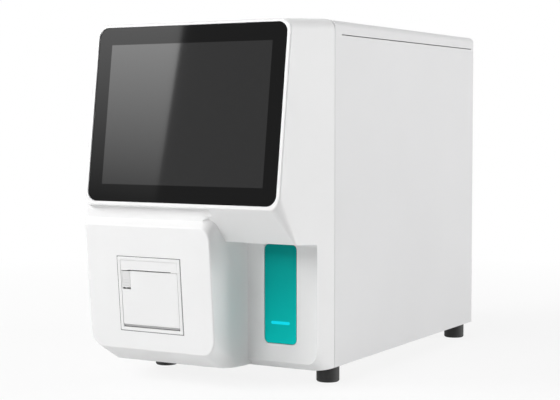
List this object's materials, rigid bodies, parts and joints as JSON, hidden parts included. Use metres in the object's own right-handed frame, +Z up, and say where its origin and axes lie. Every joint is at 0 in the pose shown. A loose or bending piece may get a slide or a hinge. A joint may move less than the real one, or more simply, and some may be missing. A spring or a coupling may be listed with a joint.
{
  "type": "hematology analyzer",
  "caption": "Bench blood-cell analyzer: tilted touch screen over a receipt printer and an open sampling bay with a teal aspirate key, on a long sheet-metal rear case with rubber feet.",
  "frame": {"origin": "middle of the footprint at the level of the feet", "axes": "+X towards the operator's right, +Y towards the back, +Z up; the screen faces -Y"},
  "size_m": [0.2572, 0.5513, 0.4125],
  "materials": {
    "white_shell": "fine satin moulding",
    "white_panel": "satin powder coat",
    "screen_glass": "polished, black printed border",
    "display_dark": "dark when off",
    "plated_steel": "zinc plated sheet",
    "printer_white": "satin",
    "printer_grey": "satin",
    "dark_plastic": "satin",
    "rubber_black": "matt",
    "steel": "ground and polished",
    "paper_white": "thermal paper",
    "core_card": "plain",
    "teal_key": "satin gloss",
    "light_bar": "translucent",
    "circuit_board": "solder mask",
    "aluminium": "machined",
    "clear_plastic": "translucent"
  },
  "bodies": {
    "analyzer_body": {"base_tray": "plated_steel", "bath_stand": "plated_steel", "bulkhead": "plated_steel", "counting_baths": "clear_plastic", "display_bracket": "plated_steel", "display_module": "display_dark", "equipment_shelf": "plated_steel", "fan_frame": "dark_plastic", "fan_guard": "plated_steel", "feet": "rubber_black", "front_shell": "white_shell", "hose_spigots": "dark_plastic", "inlet_pins": "steel", "key_bracket": "plated_steel", "key_pivot_pin": "steel", "key_switch": "dark_plastic", "laser_optics": "aluminium", "main_board": "circuit_board", "needle_collar": "clear_plastic", "optical_bench": "aluminium", "power_inlet": "dark_plastic", "power_supply": "plated_steel", "power_switch": "dark_plastic", "printer_bezel": "printer_white", "printer_bucket": "printer_grey", "printer_head_cover": "printer_white", "probe_frame": "plated_steel", "rear_panel": "white_panel", "rear_ports": "dark_plastic", "rear_screws": "steel", "side_panel_left": "white_panel", "side_panel_right": "white_panel", "solenoid_valves": "dark_plastic", "syringe_barrel": "clear_plastic", "syringe_frame": "plated_steel", "thermal_head": "dark_plastic", "top_cover": "white_panel", "touch_glass": "screen_glass", "traverse_rods": "steel", "vacuum_pump": "aluminium", "valve_manifold": "clear_plastic", "waste_chamber": "clear_plastic"},
    "printer_door": {"printer_door": "printer_white"},
    "release_lever": {"release_lever": "printer_white"},
    "platen": {"platen_roller": "rubber_black", "platen_axle": "steel"},
    "paper_roll": {"paper_roll": "paper_white", "paper_core": "core_card"},
    "aspirate_key": {"aspirate_key": "teal_key", "key_light_bar": "light_bar", "key_light_board": "circuit_board"},
    "probe_carriage": {"probe_carriage": "aluminium", "traverse_motor": "dark_plastic", "lift_rods": "steel"},
    "probe_lift": {"sample_needle": "steel", "needle_holder": "aluminium", "lift_motor": "dark_plastic"},
    "syringe_plunger": {"syringe_plunger": "dark_plastic"},
    "fan_rotor": {"fan_rotor": "dark_plastic"},
    "power_rocker": {"power_rocker": "dark_plastic"}
  },
  "joints": [
    {"name": "printer_door_hinge", "type": "hinge", "parent": "analyzer_body", "child": "printer_door", "pos_m": [-0.043, -0.26097, 0.07086], "axis": [1, 0, 0], "range_deg": [0, 70]},
    {"name": "release_lever_pivot", "type": "hinge", "parent": "printer_door", "child": "release_lever", "pos_m": [-0.0743, -0.26805, 0.12646], "axis": [-1, 0, 0], "range_deg": [0, 25], "stiffness_Nm_per_rad": 0.02, "springref_deg": -17.19},
    {"name": "platen_spin", "type": "hinge", "parent": "printer_door", "child": "platen", "pos_m": [-0.043, -0.26185, 0.12499], "axis": [1, 0, 0], "continuous": true},
    {"name": "paper_roll_spin", "type": "hinge", "parent": "analyzer_body", "child": "paper_roll", "pos_m": [-0.043, -0.23614, 0.09128], "axis": [1, 0, 0], "continuous": true},
    {"name": "aspirate_key_press", "type": "hinge", "parent": "analyzer_body", "child": "aspirate_key", "pos_m": [0.0818, -0.18473, 0.152], "axis": [1, 0, 0], "range_deg": [0, 1.2], "stiffness_Nm_per_rad": 5, "springref_deg": -1.15},
    {"name": "probe_traverse", "type": "slide", "parent": "analyzer_body", "child": "probe_carriage", "axis": [0, 1, 0], "range_m": [0, 0.132]},
    {"name": "probe_lift_slide", "type": "slide", "parent": "probe_carriage", "child": "probe_lift", "axis": [0, 0, -1], "range_m": [0, 0.075]},
    {"name": "syringe_stroke", "type": "slide", "parent": "analyzer_body", "child": "syringe_plunger", "axis": [0, 0, -1], "range_m": [0, 0.04]},
    {"name": "fan_spin", "type": "hinge", "parent": "analyzer_body", "child": "fan_rotor", "pos_m": [0.062, 0.24667, 0.34], "axis": [0, 1, 0], "continuous": true},
    {"name": "power_rocker_tilt", "type": "hinge", "parent": "analyzer_body", "child": "power_rocker", "pos_m": [-0.0485, 0.25817, 0.062], "axis": [1, 0, 0], "range_deg": [-10, 10]}
  ]
}
